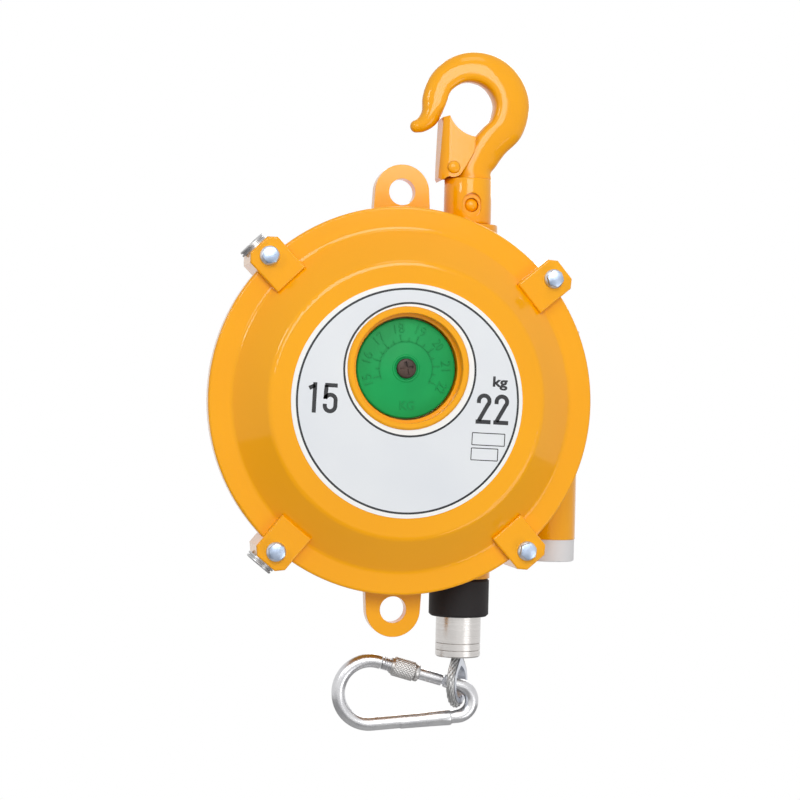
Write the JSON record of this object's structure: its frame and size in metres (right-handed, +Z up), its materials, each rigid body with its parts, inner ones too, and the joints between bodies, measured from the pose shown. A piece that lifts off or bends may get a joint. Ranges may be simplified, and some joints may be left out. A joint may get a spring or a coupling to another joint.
{
  "type": "tool balancer",
  "caption": "Spring tool balancer: round cast case with a rope drum, a swivel hook with latch on top, a load dial, and a screw-gate carabiner on the rope.",
  "frame": {"origin": "centre of the top hook's bowl, on the line that the hook, the rope and the load share", "axes": "+X to the right of the dial, +Y from the dial face to the back along the drum's axis, +Z up along the line of pull"},
  "size_m": [0.226, 0.1335, 0.3917],
  "materials": {
    "yellow_paint": "gloss",
    "zinc": "satin",
    "steel": "satin",
    "spring_steel": "satin",
    "drum_alloy": "satin",
    "label_film": "matte",
    "green_plastic": "matte",
    "grey_plastic": "matte",
    "bronze": "satin",
    "nylon": "matte",
    "black_rubber": "matte"
  },
  "bodies": {
    "case": {"front_cover": "yellow_paint", "rear_case": "yellow_paint", "cover_bolts": "zinc", "bolt_washers": "zinc", "ear_plugs": "zinc", "face_label": "label_film", "dial_screw": "steel", "front_bush": "bronze", "rear_bush": "bronze", "worm_bushes": "bronze", "worm_cap": "grey_plastic", "rope_guide": "nylon"},
    "dial": {"load_dial": "green_plastic", "dial_gear": "nylon"},
    "spring_pack": {"main_shaft": "steel", "dial_pinion": "bronze", "shaft_key": "steel", "retaining_rings": "spring_steel", "spring_case": "drum_alloy", "spring_lid": "drum_alloy", "lid_screws": "zinc", "worm_wheel": "bronze", "power_spring": "spring_steel"},
    "worm_screw": {"worm": "steel"},
    "drum": {"rope_drum": "drum_alloy", "spring_arbor": "steel", "drum_bearings": "steel", "rope_coil": "steel"},
    "load_end": {"rope_run": "steel", "rubber_bumper": "black_rubber", "stop_sleeve": "steel", "rope_ferrule": "drum_alloy", "rope_eye": "steel", "thimble": "zinc"},
    "link": {"carabiner_body": "zinc", "gate_pin": "steel"},
    "gate": {"carabiner_gate": "zinc"},
    "nut": {"lock_nut": "zinc"},
    "hook": {"top_hook": "yellow_paint", "hook_head": "yellow_paint", "hook_pin": "yellow_paint", "thrust_washer": "steel", "swivel_nut": "zinc", "latch_rivet": "yellow_paint"},
    "latch": {"hook_latch": "yellow_paint", "latch_spring": "spring_steel"}
  },
  "joints": [
    {"name": "drum_spin", "type": "hinge", "parent": "case", "child": "drum", "pos_m": [-0.042, 0, -0.1705], "axis": [0, 1, 0], "range_deg": [0, 2046.3], "stiffness_Nm_per_rad": 0.095, "springref_deg": -4526.37, "deforming": ["power_spring"]},
    {"name": "rope_travel", "type": "slide", "parent": "case", "child": "load_end", "axis": [0, 0, -1], "range_m": [0, 1.5], "deforming": ["rope_run"]},
    {"name": "spring_setting", "type": "hinge", "parent": "case", "child": "spring_pack", "pos_m": [-0.042, 0, -0.1705], "axis": [0, 1, 0], "range_deg": [-445.26, 445.26]},
    {"name": "worm_turn", "type": "hinge", "parent": "case", "child": "worm_screw", "pos_m": [0.061, 0.029, -0.1705], "axis": [0, 0, 1], "range_deg": [-33840.01, 33840.01]},
    {"name": "dial_turn", "type": "hinge", "parent": "case", "child": "dial", "pos_m": [-0.042, -0.045, -0.1525], "axis": [0, 1, 0], "range_deg": [-111.32, 111.32]},
    {"name": "hook_swivel", "type": "hinge", "parent": "case", "child": "hook", "pos_m": [0, 0, -0.0682], "axis": [0, 0, 1], "continuous": true},
    {"name": "latch_swing", "type": "hinge", "parent": "hook", "child": "latch", "pos_m": [-0.0106, 0, -0.0362], "axis": [0, 1, 0], "range_deg": [0, 25], "stiffness_Nm_per_rad": 0.02, "springref_deg": -34.38, "deforming": ["latch_spring"]},
    {"name": "carabiner_swing", "type": "hinge", "parent": "load_end", "child": "link", "pos_m": [0, 0, -0.3428], "axis": [0, 1, 0], "range_deg": [-200, 10]},
    {"name": "gate_swing", "type": "hinge", "parent": "link", "child": "gate", "pos_m": [-0.0043, 0, -0.3322], "axis": [0, -1, 0], "range_deg": [0, 28], "stiffness_Nm_per_rad": 0.01, "springref_deg": -45.84},
    {"name": "nut_slide", "type": "slide", "parent": "gate", "child": "nut", "axis": [0.962, 0, -0.2731], "range_m": [-0.0086, 0]}
  ],
  "couplings": [
    {"joint": "rope_travel", "follows": "drum_spin", "m_per_rad": 0.042},
    {"joint": "worm_turn", "follows": "spring_setting", "ratio": 76},
    {"joint": "dial_turn", "follows": "spring_setting", "ratio": -0.25}
  ]
}
